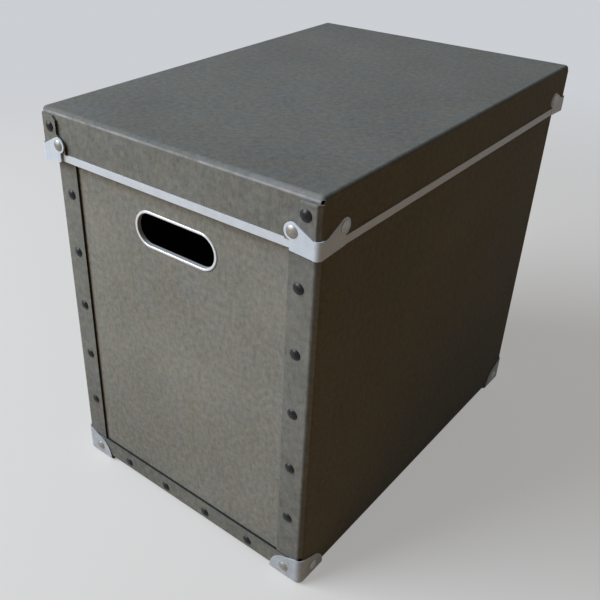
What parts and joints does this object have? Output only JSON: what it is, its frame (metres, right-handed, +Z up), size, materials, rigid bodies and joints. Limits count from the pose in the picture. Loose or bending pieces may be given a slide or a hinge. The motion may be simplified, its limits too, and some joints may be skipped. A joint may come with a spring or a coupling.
{
  "type": "file box",
  "caption": "Tall riveted fibre-board box with metal-rimmed hand slots in both ends and a shallow lift-off lid with metal edging and corner plates.",
  "frame": {"origin": "centre of the footprint, on the surface that the box stands on", "axes": "+Z up, -Y the end with the first hand slot, +X the long side on its right"},
  "size_m": [0.2564, 0.3714, 0.33],
  "materials": {
    "board": "hard pressed fibre board, matt grey-brown",
    "black_rivet": "black enamel, half gloss",
    "bright_rivet": "bright plated",
    "edging": "satin light metal",
    "corner_metal": "satin pressed sheet",
    "slot_metal": "bright rolled edge"
  },
  "bodies": {
    "tray": {"back_bottom_flap_rivets": "black_rivet", "back_left_flap_rivets": "black_rivet", "back_panel": "board", "back_right_flap_rivets": "black_rivet", "back_slot_clinch_ring": "slot_metal", "back_slot_grommet": "slot_metal", "front_bottom_flap_rivets": "black_rivet", "front_left_flap_rivets": "black_rivet", "front_panel": "board", "front_right_flap_rivets": "black_rivet", "front_slot_clinch_ring": "slot_metal", "front_slot_grommet": "slot_metal", "tray_corner_back_left": "corner_metal", "tray_corner_back_right": "corner_metal", "tray_corner_front_left": "corner_metal", "tray_corner_front_right": "corner_metal", "tray_corner_rivets_back_left": "bright_rivet", "tray_corner_rivets_back_right": "bright_rivet", "tray_corner_rivets_front_left": "bright_rivet", "tray_corner_rivets_front_right": "bright_rivet", "tray_wrap": "board"},
    "lid": {"back_lid_flap_rivets": "black_rivet", "front_lid_flap_rivets": "black_rivet", "lid_corner_back_left": "corner_metal", "lid_corner_back_right": "corner_metal", "lid_corner_front_left": "corner_metal", "lid_corner_front_right": "corner_metal", "lid_corner_rivets_back_left": "bright_rivet", "lid_corner_rivets_back_right": "bright_rivet", "lid_corner_rivets_front_left": "bright_rivet", "lid_corner_rivets_front_right": "bright_rivet", "lid_sheet": "board", "lid_trim_back": "edging", "lid_trim_front": "edging", "lid_trim_left": "edging", "lid_trim_right": "edging"}
  },
  "joints": [
    {"name": "lid_lift", "type": "slide", "parent": "tray", "child": "lid", "axis": [0, 0, 1], "range_m": [0, 0.2]}
  ]
}
